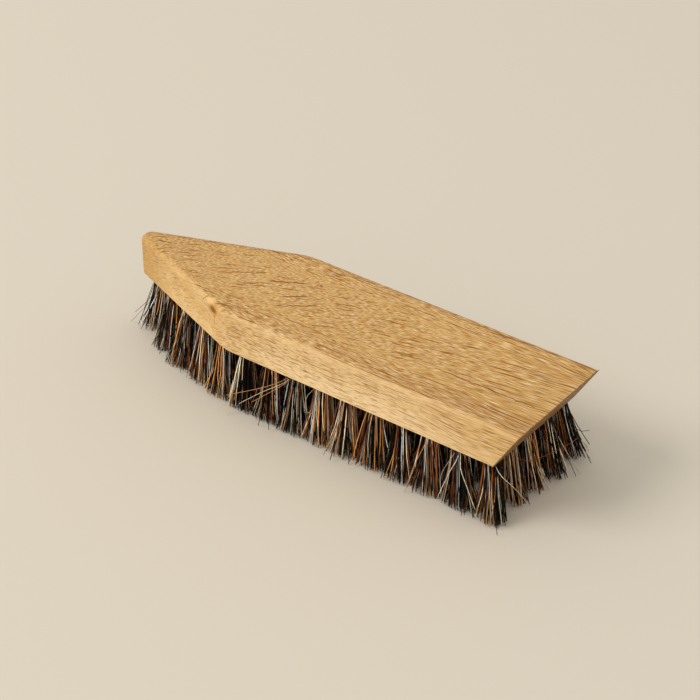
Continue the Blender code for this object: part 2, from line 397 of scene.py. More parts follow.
class OakGraph(MaterialGraph):
    """Lays out the oak: where its grain runs, what is where on the back, and its tone, layer by layer."""

    tone: Socket

    def __init__(self, oak: OakFinish) -> None:
        """Find the regions of the back and lay out the grain.

        Args:
            oak: The finish.
        """
        super().__init__("oiled_oak")
        self.oak = oak
        self.place = self.millimetres()
        self.x, self.y, self.z = self.split(self.place)
        self.mark = mark_group()
        strokes = strokes_group()
        grain = grain_group(oak, strokes)

        swirl = self.span(self.away(self.place, oak.knot_place, (11.0, 5.0, 4.5)), 0.0, 1.0, 3.4, 0.0)
        wave = self.times(self.math("SUBTRACT", self.noise(self.place, (45.0, 14.0, 14.0), 1.0), 0.5), 4.0)
        around = reduce(partial(self.math, "ADD"), (self.y, self.z, wave, swirl))
        long_run, short_run, slope = (self.times(self.x, self.math("MULTIPLY_ADD", self.x, *curve))
                                      for curve in (oak.long_run, oak.short_run, oak.slant))
        aslant = self.math("SUBTRACT", around, slope)
        straight = self.join(long_run, around)

        self.on_top = self.span(self.z, 36.1, 36.9)
        self.off_top = self.math("SUBTRACT", 1.0, self.on_top)
        self.tapered = self.span(self.x, -42.0, -26.0, 1.0, 0.0)
        self.near = self.span(self.y, 1.0, -2.0)
        self.across = self.math("ADD", self.y, wave)
        from_middle = self.math("ABSOLUTE", self.across)
        self.middle = self.times(self.on_top, self.span(from_middle, 10.0, 15.0, 1.0, 0.0))

        along_x = self.add("Group", {0: straight}, node_tree=grain)
        at_slant = self.add("Group", {0: self.join(short_run, aslant)}, node_tree=grain)
        self.streak, self.grit, self.fine, self.pores, self.specks = (
            self.blend(self.middle, *pair) for pair in zip(along_x, at_slant))
        self.rays = self.times(oak.rays.scatter(self, strokes, self.join(long_run, aslant)), self.middle)
        self.lines = self.times(oak.lines.scatter(self, strokes, straight),
                                self.on_top, self.span(from_middle, 12.0, 15.0))
        self.dashes = self.times(oak.dashes.scatter(self, strokes, straight), self.off_top)

    def lay(self, colour: object, *shares: object) -> None:
        """Lay a colour over the tone, as strong as the product of its shares."""
        self.tone = self.mix(self.times(*shares), self.tone, colour)

    def mix_ground(self) -> None:
        """Mix the broad tones: light and dark drifts, a blush, long streaks and shaded clouds."""
        oak = self.oak
        drift = self.noise(self.place, (22.0, 6.0, 6.0))
        self.tone = self.mix(self.span(drift, 0.3, 0.7, 0.32, 0.68), oak.dark, oak.light)
        blush = self.noise(self.place, (8.0, 2.0, 2.0))
        self.lay(oak.orange, self.span(blush, 0.5, 0.7, 0.0, self.blend(self.off_top, 0.4, 0.3)))
        self.lay(oak.dark, self.span(self.streak, 0.36, 0.54, 0.16, 0.0))
        self.lay(oak.pale, self.span(self.streak, 0.54, 0.72, 0.0, 0.12))
        for centre, reach in oak.clouds:
            away = self.away(self.place, on_back(centre), reach)
            self.lay(oak.shade, self.span(away, 0.2, 1.0, 0.5, 0.0))

    def darken_rims(self) -> None:
        """Darken the top towards its ends with painted shade, deepest at the far corner of the wide end, and
        towards its long edges.
        """
        oak = self.oak
        # painted shade at both ends of the back, strongest at the far corner of the wide end
        far_corner_shade = self.span(self.y, -5.0, 15.0, 0.45, 0.95)
        ends = self.most(self.span(self.x, -50.0, -80.0, 0.0, 0.6),
                         self.span(self.x, 74.0, 86.0, 0.0, far_corner_shade))
        near_share = self.span(self.x, 5.0, 55.0, 0.25, 0.8)
        near_rim = self.times(self.on_top, self.span(self.across, -13.0, -18.0, 0.0, near_share))
        far_in = self.math("SUBTRACT", oak.half_width, self.y)
        taper_in = self.math("MULTIPLY_ADD", self.math("SUBTRACT", self.x, oak.shoulder_x),
                             math.sin(oak.taper_angle), self.times(far_in, math.cos(oak.taper_angle)))
        far_rim = self.span(self.math("MINIMUM", far_in, taper_in), 3.8, 2.2)
        self.lay(oak.dark, ends)
        self.lay(oak.rim_dark, self.most(near_rim, far_rim))

    def lighten_sides(self) -> None:
        """Make the sides paler than the top, most of all at the foot, partly the wood's own paler tone and
        partly painted light, and paint a highlight on the upper roll of the near edge.
        """
        oak, x, z = self.oak, self.x, self.z
        foot = self.times(self.span(z, 33.0, 25.0, 0.6, 1.0), self.span(x, 40.0, 78.0, 1.0, 0.45),
                          self.span(x, -30.0, -4.0, 0.5, 1.0))
        nose = self.times(self.span(x, -82.0, -62.0, 0.0, 0.34), self.span(z, 32.0, 24.0, 1.0, 2.0))
        # paler sides: partly the wood's own paler tone, partly painted light standing in for the lamp on the
        # sides
        self.lay(self.mix(self.tapered, oak.side_pale_and_painted_light, oak.pale), self.span(z, 36.8, 35.4),
                 self.blend(self.tapered, foot, nose))
        soft = self.span(self.noise(self.place, (11.0, 11.0, 6.0)), 0.42, 0.62, 0.0,
                         self.span(x, -80.0, -66.0, 0.15, 0.5))
        self.lay(oak.side_pale_and_painted_light, soft, self.span(z, 36.99, 36.6), self.tapered, 0.6)
        # painted highlight: a pale band along the upper roll of the near edge, where it faces the lamp
        painted_brow_highlight = self.times(self.span(z, 36.99, 36.88), self.span(z, 35.6, 36.4), self.near)
        self.lay(oak.side_pale_and_painted_light, painted_brow_highlight, self.blend(self.tapered, 0.3, 0.0))

    def draw_grain(self) -> None:
        """Draw the grit, the fine grain, the specks, pores and dashes, the rays and the lines of the rim."""
        oak = self.oak
        arris = self.times(self.span(self.z, 36.95, 36.75), self.span(self.z, 34.6, 35.3), self.near)
        calm = self.blend(arris, self.blend(self.times(self.off_top, self.tapered), 1.0, 0.6), 0.6)
        foot = self.times(self.off_top, self.span(self.z, 28.0, 23.5))
        calm = self.times(calm, self.blend(foot, 1.0, 0.7))
        rough = self.times(calm, self.blend(self.off_top, 1.0, 0.75))
        for value, low, high, start, end, colour in ((self.grit, 0.34, 0.48, 0.2, 0.0, oak.fleck),
                                                     (self.grit, 0.54, 0.68, 0.0, 0.12, oak.bright),
                                                     (self.fine, 0.36, 0.48, 0.85, 0.0, oak.fleck),
                                                     (self.fine, 0.52, 0.62, 0.0, 0.55, oak.bright)):
            self.lay(colour, self.span(value, low, high, start, end), rough)
        self.lay(oak.bright, self.specks, 0.3, rough)
        darkness = self.blend(self.on_top, 0.2, self.blend(self.middle, 0.8, 0.65))
        self.lay(oak.fleck, self.pores, darkness, rough)
        self.lay(oak.fleck, self.dashes, calm, 0.85)
        self.lay(oak.fleck, self.most(self.rays, self.lines))

    def draw(self, place: Socket, marks: tuple[Mark, ...]) -> Socket:
        """Draw single marks.

        Args:
            place: The place in millimetres.
            marks: The marks, each with its two ends and half its width.

        Returns:
            The mask of them all.
        """
        drawn = (self.add("Group", {0: place, 1: on_back(start), 2: on_back(end), 3: half_width},
                          node_tree=self.mark)[0] for start, end, half_width in marks)
        return reduce(partial(self.math, "MAXIMUM"), drawn)

    def draw_knot(self) -> None:
        """Draw the cracks of the top and the small knot, with its pale lobe, its rings and its lines."""
        oak = self.oak
        waver = self.vector("SUBTRACT", self.noise(self.place, (2.5,) * 3, output="Color"), (0.5,) * 3)
        bent = self.vector("ADD", self.place, self.vector("MULTIPLY", waver, (1.3, 1.3, 0.0)))
        self.lay(oak.crack, self.draw(bent, oak.cracks), 0.95)
        away = self.away(self.place, oak.knot_place, (8.0, 6.0, 11.0))
        rings = self.noise(self.join(self.times(away, 7.0)), (1.0, 1.0, 1.0))
        below = self.times(self.span(away, 0.25, 1.0, 1.0, 0.0), self.span(self.z, 35.6, 34.0))
        self.lay(oak.orange, below, self.span(rings, 0.5, 0.62, 0.0, 0.6))
        self.lay(oak.pale, below, self.span(rings, 0.48, 0.4, 0.0, 0.5))
        for centre, reach, colour, share in ((oak.knot_place, (6.0, 4.6, 3.2), oak.orange, 0.75),
                                             (oak.lobe_place, (3.0, 2.2, 2.0), oak.pale, 0.65),
                                             (oak.knot_place, (3.3, 2.6, 1.9), oak.knot, 0.9)):
            away = self.away(self.place, centre, reach)
            self.lay(colour, self.span(away, 0.25, 1.0, share, 0.0))
        self.lay(oak.fleck, self.draw(self.place, oak.knot_lines), 0.6)

    def draw_end(self) -> None:
        """Give the undercut end its end grain, dark partly from the oiled end grain's own tone and partly
        from painted shade.
        """
        oak = self.oak
        foot_x, foot_z = oak.foot
        plane_x = self.math("MULTIPLY_ADD", self.math("SUBTRACT", self.z, foot_z), oak.undercut, foot_x)
        rings = self.noise(self.place, (3.0, 3.0, 0.7), 3.0)
        # end grain rings, darkened partly by painted shade
        grain = self.mix(self.span(rings, 0.4, 0.6), oak.end_grain_and_shade, oak.end_pale)
        self.lay(grain, self.span(self.math("SUBTRACT", self.x, plane_x), -0.5, -0.2))

    def build(self) -> Material:
        """Lay the tone layer by layer and give the wood its shine and its relief.

        Returns:
            The material.
        """
        oak = self.oak
        for draw in (self.mix_ground, self.darken_rims, self.lighten_sides, self.draw_grain, self.draw_knot,
                     self.draw_end):
            draw()
        grooves = self.times(self.most(self.pores, self.dashes, self.rays), -0.8)
        height = self.math("MULTIPLY_ADD", self.grit, 0.6, grooves)
        normal = self.add("Bump", {"Strength": 0.3, "Distance": oak.relief * MM, "Height": height})["Normal"]
        rough = self.span(self.streak, 0.2, 0.8, oak.roughness + 0.08, oak.roughness - 0.04)
        return self.finish({"Base Color": self.tone, "Roughness": rough, "Specular IOR Level": oak.shine,
                            "Normal": normal})


class HairTone(Enum):
    """The colours of bristle, each with the share of hairs that have it and how thick they are."""

    BLACK = (srgb(12, 9, 6), 0.57, 1.0)
    DARK_BROWN = (srgb(50, 28, 16), 0.09, 0.95)
    RUST = (srgb(156, 86, 44), 0.105, 1.0)
    TAN = (srgb(244, 174, 102), 0.09, 1.05)
    GREY = (srgb(190, 180, 162), 0.03, 1.0)
    CREAM = (srgb(255, 243, 210), 0.095, 1.08)
    WHITE = (srgb(254, 252, 247), 0.06, 1.02)

    def __init__(self, colour: Colour, share: float, width: float) -> None:
        """Keep the colour, the share of hairs and their thickness against the mean."""
        self.colour, self.share, self.width = colour, share, width

    @classmethod
    def starts(cls) -> list[float]:
        """Where the stretch of each tone starts among the values from 0 to 1 that pick a tone."""
        shares = [tone.share for tone in cls]
        return [sum(shares[:place]) / sum(shares) for place in range(len(shares))]


@dataclass(frozen=True)
class WildHair:
    """One hair that strays from its tuft: its tone and its points below the back, in millimetres."""

    tone: HairTone
    points: tuple[Point, ...]


WILD_HAIRS = tuple(WildHair(tone, tuple(points)) for tone, *points in (
    (HairTone.TAN, (-6.0, -23.6, 19.0), (-13.0, -25.8, 14.6), (-28.4, -26.6, 5.7)),
    (HairTone.CREAM, (-5.0, -23.4, 18.6), (-12.0, -25.8, 14.0), (-22.8, -26.6, 4.5)),
    (HairTone.TAN, (-4.6, -23.4, 18.6), (-10.5, -25.7, 13.5), (-17.0, -26.6, 7.6)),
    (HairTone.GREY, (5.0, -24.0, 19.0), (5.4, -26.4, 15.0), (7.2, -26.6, 13.2), (10.4, -26.6, 15.0),
     (11.6, -26.2, 19.2), (10.4, -25.6, 21.0)),
    (HairTone.RUST, (22.4, -24.4, 20.4), (25.4, -26.2, 20.0), (26.3, -26.5, 17.4), (24.4, -26.4, 15.5),
     (22.3, -26.3, 14.2)),
    (HairTone.TAN, (52.4, -23.8, 18.6), (50.3, -25.9, 12.5), (47.9, -27.9, 0.3)),
    (HairTone.CREAM, (66.0, -23.4, 19.8), (67.5, -25.8, 17.4), (69.8, -26.3, 14.0), (74.3, -26.8, 5.3)),
    (HairTone.GREY, (63.2, -23.5, 19.4), (60.6, -26.0, 13.3), (60.5, -26.4, 9.5), (61.4, -26.8, 4.0)),
    (HairTone.WHITE, (65.2, -23.4, 19.4), (63.6, -25.8, 14.9), (60.0, -27.0, 3.2)),
    (HairTone.RUST, (-80.2, -2.2, 17.0), (-84.9, -2.9, 10.3), (-91.7, -3.0, 2.8)),
    (HairTone.GREY, (-80.6, -2.0, 14.6), (-85.7, -2.8, 8.2), (-91.1, -6.3, 0.4)),
    (HairTone.BLACK, (-79.0, -3.0, 17.0), (-81.4, -5.6, 8.0), (-84.9, -7.7, 0.4)),
    (HairTone.BLACK, (79.0, 19.4, 16.4), (83.0, 20.6, 11.6), (84.8, 24.6, 10.9)),
    (HairTone.BLACK, (74.4, 25.5, 11.5), (75.6, 33.4, 0.4)),
    (HairTone.DARK_BROWN, (77.6, 23.6, 11.0), (82.5, 28.5, 0.4)),
    (HairTone.RUST, (82.0, -13.6, 18.6), (85.0, -4.4, 17.4), (85.6, 8.8, 14.2), (85.4, 15.9, 12.9)),
    (HairTone.CREAM, (80.0, -22.4, 18.6), (82.6, -17.8, 12.6), (83.6, -10.1, 1.6))))


@dataclass(frozen=True)
class BristleFinish:
    """Stiff natural bristle: one tone to a hair, a little uneven along its length, with a satin shine."""

    roughness: float = 0.42
    shine: float = 0.12

    def build(self) -> Material:
        """Build the material.

        Returns:
            The material, which reads each hair's tone and shade from the mesh.
        """
        graph = MaterialGraph("mixed_bristle")
        tone, shade = (graph.add("Attribute", attribute_name=name)["Fac"] for name in ("tone", "shade"))
        colour = graph.add("ValToRGB", {0: tone})[0]
        band = colour.node.color_ramp
        band.interpolation = "CONSTANT"
        while len(band.elements) < len(HairTone):
            band.elements.new(1.0)
        for element, start, hair_tone in zip(band.elements, HairTone.starts(), HairTone):
            element.position = start
            element.color = (*hair_tone.colour, 1.0)
        streak = graph.noise(graph.millimetres(), (0.5, 0.5, 5.0))
        light = graph.times(graph.span(shade, 0.0, 1.0, 0.6, 1.25, "LINEAR"),
                            graph.span(streak, 0.3, 0.7, 0.75, 1.2))
        colour = graph.mix(1.0, colour, graph.join(light, light, light), "MULTIPLY")
        return graph.finish({"Base Color": colour, "Roughness": self.roughness,
                             "Specular IOR Level": self.shine})


@dataclass(frozen=True)
class WireFinish:
    """Plain drawn steel wire."""

    colour: Colour = (0.56, 0.55, 0.53)
    roughness: float = 0.35

    def build(self) -> Material:
        """Build the material.

        Returns:
            The material, with its drawn lines along the wire.
        """
        graph = MaterialGraph("steel_wire")
        drawn = graph.noise(graph.millimetres(), (6.0, 0.1, 0.1))
        rough = graph.span(drawn, 0.2, 0.8, self.roughness - 0.1, self.roughness + 0.1)
        return graph.finish({"Base Color": self.colour, "Metallic": 1.0, "Roughness": rough})


def go(mode: str) -> None:
    """Go to object or edit mode."""
    bpy.ops.object.mode_set(mode=mode)


def deselect() -> None:
    """Leave edit mode and deselect every object."""
    if bpy.context.object and bpy.context.object.mode != "OBJECT":
        go("OBJECT")
    bpy.ops.object.select_all(action="DESELECT")


def hold(*pieces: Piece) -> None:
    """Make objects the selected ones and the first of them the active one.

    Args:
        *pieces: The objects.
    """
    deselect()
    for piece in pieces:
        piece.select_set(True)
    bpy.context.view_layer.objects.active = pieces[0]


def select_parts(piece: Piece, kind: str, wanted: Callable[..., bool]) -> None:
    """Go to edit mode with the edges or faces selected that a test picks by their corners.

    Args:
        piece: The object.
        kind: EDGE or FACE.
        wanted: Says of an edge's or face's corners whether it is picked.
    """
    hold(piece)
    go("EDIT")
    bpy.ops.mesh.select_mode(type=kind)
    bpy.ops.mesh.select_all(action="DESELECT")
    go("OBJECT")
    for part in piece.data.edges if kind == "EDGE" else piece.data.polygons:
        part.select = wanted(*(piece.data.vertices[index].co for index in part.vertices))
    go("EDIT")


def apply_modifier(piece: Piece, kind: str, **settings: object) -> None:
    """Add a modifier to a piece and apply it.

    Args:
        piece: The piece.
        kind: The kind of modifier.
        **settings: The modifier's settings.
    """
    hold(piece)
    bpy.ops.object.modifier_add(type=kind)
    modifier = piece.modifiers[-1]
    for name, value in settings.items():
        setattr(modifier, name, value)
    bpy.ops.object.modifier_apply(modifier=modifier.name)


def place_in_mesh() -> Piece:
    """Carry the place and scale of the primitive just added into its mesh, and return it."""
    bpy.ops.object.transform_apply(location=True, rotation=True, scale=True)
    return bpy.context.object


def put(name: str, data: bpy.types.ID) -> Piece:
    """Put a mesh, lamp or camera into the scene.

    Args:
        name: The name of the new object.
        data: Its mesh, lamp or camera.

    Returns:
        The new object.
    """
    thing = bpy.data.objects.new(name, data)
    bpy.context.scene.collection.objects.link(thing)
    return thing


@dataclass(frozen=True)
class TuftPlace:
    """Where one tuft sits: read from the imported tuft, so that it always fits its hole."""

    node: str
    mouth: Vector
    tip: Vector
    axis: Vector
    frame: Matrix
    spread: float

    @classmethod
    def read(cls, node: str, underside: float) -> TuftPlace:
        """Find a packed tuft's axis from the top of its root and the middle of its tips.

        Args:
            node: The tuft's node.
            underside: The height of the underside of the back.

        Returns:
            The tuft's place.
        """
        points = np.array([vert.co for vert in frame["nodes"][node].data.vertices])
        top = points[points[:, 2] > points[:, 2].max() - 0.4 * MM].mean(axis=0)
        low = points[points[:, 2] < 0.2 * MM]
        tip = (low.min(axis=0) + low.max(axis=0)) / 2
        axis = Vector(top - tip).normalized()
        mouth = Vector(top) + axis * ((underside - top[2]) / axis.z)
        turn = Vector((0.0, 0.0, 1.0)).rotation_difference(axis).to_matrix().to_4x4()
        spread = max(1.0, (low[:, 1].max() - low[:, 1].min()) / (9.0 * MM))
        return cls(node, mouth, Vector(tip), axis, Matrix.Translation(mouth) @ turn, spread)

    def carry(self, points: Array) -> Array:
        """Carry points from the tuft's own frame, whose z runs up its hole, to the frame of the brush."""
        matrix = np.array(self.frame)
        return points @ matrix[:3, :3].T + matrix[:3, 3]


def copy_to_tufts(piece: Piece, name: str, places: list[TuftPlace]) -> Piece:
    """Copy a piece to every tuft's place, join the copies and drop the piece itself.

    Args:
        piece: The piece, modelled in a tuft's own frame.
        name: The name of the joined copies.
        places: The tufts' places.

    Returns:
        The joined copies.
    """
    copies = []
    for place in places:
        copy = put(name, piece.data.copy())
        copy.data.transform(place.frame)
        copies.append(copy)
    bpy.data.objects.remove(piece)
    hold(*copies)
    bpy.ops.object.join()
    return copies[0]


@dataclass
class OakBack:
    """The wooden back: sawn from one blank, its corners rounded and its underside drilled for the tufts."""

    places: list[TuftPlace]
    finish: OakFinish
    length: float = 175.0 * MM
    width: float = 47.5 * MM
    thickness: float = 15.0 * MM
    taper_length: float = 57.0 * MM
    nose_radius: float = 3.7 * MM
    shoulder_radius: float = 16.0 * MM
    end_undercut: float = 9.0 * MM
    arris_radius: float = 2.1 * MM
    edge_softening: float = 0.12 * MM
    hole_diameter: float = 5.6 * MM
    hole_depth: float = 9.0 * MM
    drill_point: float = math.radians(31.0)
    overrun: float = 2.0 * MM
    near: float = 0.05 * MM

    @property
    def underside(self) -> float:
        """The height of the underside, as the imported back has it."""
        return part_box(BACK_NODE)[0].z

    @property
    def top(self) -> float:
        """The height of the flat top."""
        return self.underside + self.thickness

    @property
    def shoulder_x(self) -> float:
        """Where the taper starts."""
        return self.taper_length - self.length / 2

    @property
    def taper_angle(self) -> float:
        """The angle of the taper, from the shoulder to where it touches the round nose."""
        run, half = self.taper_length - self.nose_radius, self.width / 2
        return math.atan2(half, run) - math.asin(self.nose_radius / math.hypot(run, half))

    def saw_blank(self) -> Piece:
        """Saw the blank to its outline.

        Returns:
            The blank, with sharp corners.
        """
        deselect()
        bpy.ops.mesh.primitive_cube_add(size=1.0, scale=(self.length, self.width, self.thickness),
                                        location=(0.0, 0.0, self.underside + self.thickness / 2))
        blank = place_in_mesh()
        blank.name = "brush_back"
        sine, cosine = math.sin(self.taper_angle), math.cos(self.taper_angle)
        cuts = [((self.shoulder_x, side * self.width / 2, self.top), (-sine, side * cosine, 0.0))
                for side in (-1.0, 1.0)]
        cuts.append(((self.length / 2, 0.0, self.top), (self.thickness, 0.0, -self.end_undercut)))
        go("EDIT")
        for point, normal in cuts:
            bpy.ops.mesh.select_all(action="SELECT")
            bpy.ops.mesh.bisect(plane_co=point, plane_no=normal, use_fill=True, clear_outer=True)
        return blank

    def round_corners(self, blank: Piece) -> None:
        """Round the upright corners of the nose and the shoulders.

        Args:
            blank: The sawn blank.
        """
        nose_run = self.nose_radius * math.tan((math.pi / 2 - self.taper_angle) / 2)
        shoulder_run = self.shoulder_radius * math.tan(self.taper_angle / 2)
        for corner_x, run, segments in ((-self.length / 2, nose_run, 10),
                                        (self.shoulder_x, shoulder_run, 8)):
            select_parts(blank, "EDGE", lambda a, b: abs(a.x - corner_x) < self.near
                         and abs(a.x - b.x) < self.near and abs(a.z - b.z) > self.near)
            bpy.ops.mesh.bevel(offset=run, segments=segments, affect="EDGES", clamp_overlap=False)
        bpy.ops.mesh.select_all(action="SELECT")
        bpy.ops.mesh.remove_doubles(threshold=self.near / 2)
        go("OBJECT")

    def soften_edges(self, blank: Piece) -> None:
        """Round the long top edges over and ease every other edge.

        Args:
            blank: The blank with round corners.
        """
        end_x = self.length / 2 - self.end_undercut
        weights = blank.data.attributes.new("bevel_weight_edge", "FLOAT", "EDGE")
        for edge in blank.data.edges:
            a, b = (blank.data.vertices[index].co for index in edge.vertices)
            tops = sum(abs(point.z - self.top) < self.near for point in (a, b))
            if min(a.x, b.x) > end_x - self.near or tops == 0 and abs(a.z - b.z) < self.near:
                weights.data[edge.index].value = self.edge_softening / self.arris_radius
            elif tops == 2:
                weights.data[edge.index].value = 1.0
        apply_modifier(blank, "BEVEL", limit_method="WEIGHT", width=self.arris_radius, segments=8,
                       use_clamp_overlap=False)

    def make_drill(self) -> Piece:
        """Model the shape that one hole takes away: a cylinder with a drill's cone at its end.

        Returns:
            The drill, in a tuft's own frame.
        """
        deselect()
        depth, radius = self.hole_depth + self.overrun, self.hole_diameter / 2
        bpy.ops.mesh.primitive_cylinder_add(vertices=24, radius=radius, depth=depth,
                                            location=(0.0, 0.0, depth / 2 - self.overrun))
        drill = place_in_mesh()
        end_z = self.hole_depth - self.near
        select_parts(drill, "FACE", lambda *corners: all(corner.z > end_z for corner in corners))
        bpy.ops.mesh.inset(thickness=radius * 0.98)
        bpy.ops.transform.translate(value=(0.0, 0.0, radius * math.tan(self.drill_point)))
        go("OBJECT")
        return drill

    def drill_holes(self, blank: Piece) -> None:
        """Drill a slanted blind hole for each tuft.

        Args:
            blank: The blank with soft edges.
        """
        holes = copy_to_tufts(self.make_drill(), "holes", self.places)
        apply_modifier(blank, "BOOLEAN", operation="DIFFERENCE", object=holes, solver="EXACT")
        bpy.data.objects.remove(holes)

    def dress(self, blank: Piece) -> None:
        """Give the back its oak and shade its round stretches smooth.

        Args:
            blank: The drilled blank.
        """
        blank.data.materials.clear()
        blank.data.materials.append(self.finish.build())
        hold(blank)
        bpy.ops.object.shade_smooth_by_angle(angle=math.radians(32.0))
        apply_modifier(blank, "WEIGHTED_NORMAL", keep_sharp=True)

    def build(self) -> Piece:
        """Build the back.

        Returns:
            The finished piece.
        """
        blank = self.saw_blank()
        for step in (self.round_corners, self.soften_edges, self.drill_holes, self.dress):
            step(blank)
        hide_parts(BACK_NODE)
        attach(blank, BODY)
        return blank


@dataclass
class BristleField:
    """All the tufts: in each, a bunch of hairs bent double over a wire, both legs of each fanning out."""

    places: list[TuftPlace]
    finish: BristleFinish
    wire_finish: WireFinish
    seed: int = 23
    hairs_per_tuft: int = 104
    hair_radius: float = 0.16 * MM
    hair_range: Pair = (0.75, 1.2)
    hair_end: float = 0.9
    hole_radius: float = 2.8 * MM
    tip_reach: Pair = (6.4 * MM, 3.5 * MM)
    corner_fill: float = 0.6
    nose_stretch: Point = (-78.0 * MM, -67.0 * MM, -57.0 * MM)
    nose_reach: Point = (1.6, 0.65, 1.0)
    nose_pull: Point = (1.0, 0.88, 1.0)
    end_stretch: Pair = (76.0 * MM, 79.0 * MM)
    end_reach: Pair = (0.62, 1.35)
    clumps: int = 9
    clump_reach: float = 0.8
    clump_share: float = 0.22
    clump_range: Pair = (0.5, 1.3)
    scatter: float = 0.8 * MM
    stray_share: float = 0.14
    stray_reach: Pair = (2.8 * MM, 1.6 * MM)
    ragged: float = 0.95 * MM
    sag: float = 0.9 * MM
    bend: float = 0.42
    straight_share: float = 0.55
    wire_top: float = 7.2 * MM
    wire_width: float = 2.0 * MM
    wire_thickness: float = 0.5 * MM
    wire_length: float = 6.0 * MM
    wild_radius: float = 0.11 * MM
    wild_shade: float = 0.5
    wild_rounding: int = 3
    floor_gap: float = 0.02 * MM
    leg_steps: tuple[float, ...] = (0.0, 0.3, 0.62, 1.0)
    crown_steps: tuple[float, ...] = (-0.7, 0.0, 0.7)
    crown_rise: float = 0.62
    crown_fall: float = 0.5
    hair_sides: int = 3
    patch_fill: float = 0.84
    template_co: Array = field(init=False, repr=False)
    template_faces: list[tuple[int, ...]] = field(init=False, repr=False)
    template_uv: Array = field(init=False, repr=False)

    @property
    def rings(self) -> int:
        """How many rings of corners a hair has, in its two legs and over the wire."""
        return 2 * (len(self.leg_steps) + 1) + len(self.crown_steps)

    def model_hair(self) -> None:
        """Model one straight hair of unit length, three-sided and cut into short stretches."""
        deselect()
        bpy.ops.mesh.primitive_cylinder_add(vertices=self.hair_sides, radius=1.0, depth=1.0,
                                            location=(0.0, 0.0, 0.5))
        hair = place_in_mesh()
        go("EDIT")
        for ring in range(1, self.rings - 1):
            bpy.ops.mesh.select_all(action="SELECT")
            bpy.ops.mesh.bisect(plane_co=(0.0, 0.0, ring / (self.rings - 1)), plane_no=(0.0, 0.0, 1.0))
        go("OBJECT")
        self.template_co = np.array([vert.co for vert in hair.data.vertices])
        self.template_faces = [tuple(face.vertices) for face in hair.data.polygons]
        self.template_uv = np.concatenate([self.unwrap(face) for face in self.template_faces])
        bpy.data.objects.remove(hair)

    def unwrap(self, face: tuple[int, ...]) -> Array:
        """Lay one face of the modelled hair on a patch: round the hair goes across it, along the hair up it.

        Args:
            face: The face's corners.

        Returns:
            The place of each corner, 0 to 1.
        """
        x, y, height = self.template_co[list(face)].T
        first = self.template_co[0]
        turn = np.arctan2(y, x) - math.atan2(first[1], first[0])
        side = np.rint(turn / math.tau * self.hair_sides) % self.hair_sides
        if np.ptp(height) > 0.0 and np.ptp(side) > 1.0:
            side[side == 0.0] = self.hair_sides
        if np.ptp(height) == 0.0:
            height = height + (height - 0.5) * 0.1 * (side == 1.0)
        return np.stack([side / self.hair_sides, height], axis=1)

    def model_wire(self) -> Piece:
        """Model one piece of flat wire with eased edges, lying along x.

        Returns:
            The wire, in a tuft's own frame.
        """
        deselect()
        size = (self.wire_length, self.wire_thickness, self.wire_width)
        bpy.ops.mesh.primitive_cube_add(size=1.0, scale=size,
                                        location=(0.0, 0.0, self.wire_top - self.wire_width / 2))
        wire = place_in_mesh()
        apply_modifier(wire, "BEVEL", width=self.wire_thickness / 4, segments=2)
        return wire

    def leg(self, place: TuftPlace, along: Array, aside: Array, tips: Array, rng: Chance) -> Array:
        """Lay one leg of every hair of a tuft, from the fold to the tip.

        Args:
            place: The tuft's place.
            along: Where each leg lies along the wire.
            aside: How far each leg lies from the wire, to one side or the other.
            tips: Where each leg ends.
            rng: The source of chance.

        Returns:
            The points of each leg, from inside the hole to the tip.
        """
        mouth = np.stack([along, aside, np.zeros(len(along))], axis=1)
        deep = place.carry(mouth + (0.0, 0.0, self.wire_top - self.wire_width))
        mouth = place.carry(mouth)
        run = tips - mouth
        axis = -np.array(place.axis) * np.linalg.norm(run, axis=1)[:, None]
        bow = rng.normal(0.0, self.sag, run.shape) * (1.0, 1.0, 0.0)
        lean = self.straight_share * axis + (1.0 - self.straight_share) * run
        control = mouth + self.bend * lean + bow
        rows = [(1 - t) ** 2 * mouth + 2 * t * (1 - t) * control + t * t * tips for t in self.leg_steps]
        return np.stack([deep, *rows], axis=1)

    def tips(self, place: TuftPlace, along: Array, aside: Array, clumps: Array, rng: Chance) -> Array:
        """Scatter the ends of one leg of each hair over the tuft's patch, drawn together into small points.

        Args:
            place: The tuft's place.
            along: Where each leg lies along the wire.
            aside: How far each leg lies from the wire, to one side or the other.
            clumps: The small points, from the middle of the tuft.
            rng: The source of chance.

        Returns:
            The end of each leg.
        """
        count = len(along)
        own = np.stack([along, aside], axis=1)
        own *= (np.linalg.norm(own, axis=1) / np.abs(own).max(axis=1))[:, None] ** self.corner_fill
        slim = np.interp(place.mouth.x, self.nose_stretch, self.nose_reach)
        short, long = (np.interp(place.tip.x, self.end_stretch, (1.0, reach)) for reach in self.end_reach)
        own = own / self.hole_radius * np.array(self.tip_reach) * (1.0, slim * place.spread)
        own[:, 0] *= np.where(own[:, 0] > 0.0, short, long)
        own += rng.normal(0.0, self.scatter, (count, 2))
        nearest = np.argmin(np.linalg.norm(own[:, None] - clumps[None], axis=2), axis=1)
        spot = own + (clumps[nearest] - own) * self.clump_share * rng.uniform(*self.clump_range, (count, 1))
        stray = rng.random(count) < self.stray_share
        spot[stray] += rng.normal(0.0, 1.0, (stray.sum(), 2)) * self.stray_reach
        height = self.floor_gap + self.hair_radius + np.abs(rng.normal(0.0, self.ragged, count))
        pull = np.interp(place.mouth.x, self.nose_stretch, self.nose_pull)
        return np.column_stack([place.tip.x + spot[:, 0], place.tip.y * pull + spot[:, 1], height])

